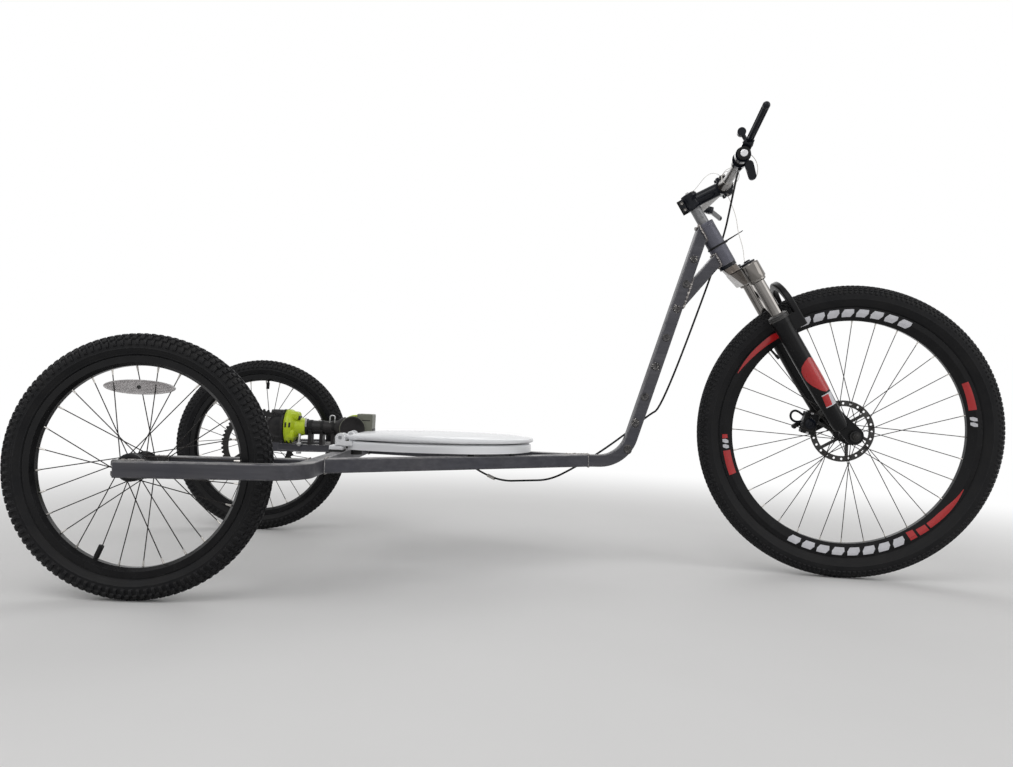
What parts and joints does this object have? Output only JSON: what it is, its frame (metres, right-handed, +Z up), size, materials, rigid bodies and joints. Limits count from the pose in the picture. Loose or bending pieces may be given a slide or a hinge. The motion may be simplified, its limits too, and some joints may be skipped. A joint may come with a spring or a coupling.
{
  "type": "recumbent tricycle",
  "caption": "Low home-built recumbent tricycle with a large steered front wheel, a U-shaped square-tube frame, a moulded seat and a cordless grinder as its motor.",
  "frame": {"origin": "on the floor, under the middle of the overall length and width", "axes": "+X forward along the frame, +Y to the rider's left, +Z up"},
  "size_m": [2.2049, 1.04, 1.0339],
  "materials": {
    "bare_tube": "bare mill-scale steel, unpainted",
    "battery_plastic": "grey-olive plastic",
    "black_metal": "satin black",
    "black_rim": "satin black anodised",
    "black_spoke": "black",
    "bright_wire": "bright steel wire",
    "brushed_steerer": "brushed",
    "cast_crown": "silver-brown metallic",
    "chrome": "polished chrome",
    "clear_rubber": "translucent grey rubber",
    "dark_plastic": "dark grey plastic",
    "dark_steel": "black oxide steel",
    "gloss_black": "gloss black",
    "grey_alloy": "grey anodised",
    "head_steel": "bare steel",
    "lime_plastic": "lime green plastic",
    "plate_steel": "bare steel plate",
    "reflector": "clear prismatic reflector",
    "rotor_steel": "brushed disc steel",
    "satin_black": "satin black",
    "soft_black": "matte black",
    "tool_head": "dark cast metal",
    "tyre_rubber": "dull black rubber",
    "white_seat": "gloss white plastic",
    "zinc_steel": "zinc plated"
  },
  "bodies": {
    "frame": {"rear_hoop": "bare_tube", "inner_rail_left": "bare_tube", "inner_rail_right": "bare_tube", "dropouts_left": "plate_steel", "dropouts_right": "plate_steel", "side_rail_left": "bare_tube", "side_rail_right": "bare_tube", "riser_tube": "bare_tube", "riser_brace": "bare_tube", "head_tube": "head_steel", "headset_cups": "gloss_black", "left_axle": "zinc_steel", "right_axle": "zinc_steel", "bearing_block": "dark_steel", "tool_gear_head": "tool_head", "tool_housing": "lime_plastic", "tool_grip": "dark_plastic", "battery_pack": "battery_plastic", "motor_mount_bar": "bare_tube", "tool_saddles": "dark_plastic", "seat_ring": "white_seat", "seat_hinges": "white_seat", "seat_bumpers": "clear_rubber", "throttle_cable": "soft_black", "cable_adjuster": "bright_wire"},
    "steering": {"steerer": "brushed_steerer", "fork_crown": "cast_crown", "stanchions": "chrome", "fork_lowers": "satin_black", "fork_seals": "soft_black", "front_axle": "zinc_steel", "brake_caliper": "black_metal", "stem": "gloss_black", "handlebar": "grey_alloy", "left_lever": "gloss_black", "right_lever": "gloss_black", "throttle_cable_upper": "soft_black", "brake_wire": "bright_wire", "throttle_lever": "gloss_black"},
    "front_wheel": {"front_tyre": "tyre_rubber", "front_rim": "black_rim", "front_spokes": "black_spoke", "front_hub": "black_metal", "brake_rotor": "rotor_steel"},
    "left_wheel": {"left_tyre": "tyre_rubber", "left_rim": "black_rim", "left_spokes": "black_spoke", "left_hub": "black_metal", "drive_ring": "dark_steel"},
    "right_wheel": {"right_tyre": "tyre_rubber", "right_rim": "black_rim", "right_spokes": "black_spoke", "right_hub": "black_metal", "spoke_reflector": "reflector"},
    "seat_lid": {"seat_lid": "white_seat"},
    "drive_pinion": {"drive_pinion": "dark_steel"}
  },
  "joints": [
    {"name": "steering", "type": "hinge", "parent": "frame", "child": "steering", "pos_m": [0.4158, 0, 0.78432], "axis": [-0.5299, 0, 0.848], "range_deg": [-24, 46], "deforming": ["throttle_cable_upper"]},
    {"name": "front_wheel_spin", "type": "hinge", "parent": "steering", "child": "front_wheel", "pos_m": [0.73411, -0.00992, 0.37123], "axis": [0.1618, 0.9816, 0.1011], "continuous": true},
    {"name": "left_wheel_spin", "type": "hinge", "parent": "frame", "child": "left_wheel", "pos_m": [-0.84808, 0.43, 0.2545], "axis": [0, 1, 0], "continuous": true},
    {"name": "right_wheel_spin", "type": "hinge", "parent": "frame", "child": "right_wheel", "pos_m": [-0.84808, -0.43, 0.2545], "axis": [0, 1, 0], "continuous": true},
    {"name": "pinion_spin", "type": "hinge", "parent": "frame", "child": "drive_pinion", "pos_m": [-0.73786, 0.384, 0.31942], "axis": [0, 1, 0], "continuous": true},
    {"name": "lid_lift", "type": "hinge", "parent": "frame", "child": "seat_lid", "pos_m": [-0.52515, 0, 0.30928], "axis": [0, -1, 0], "range_deg": [0, 95]}
  ],
  "couplings": [
    {"joint": "pinion_spin", "follows": "left_wheel_spin", "ratio": -5.2}
  ]
}
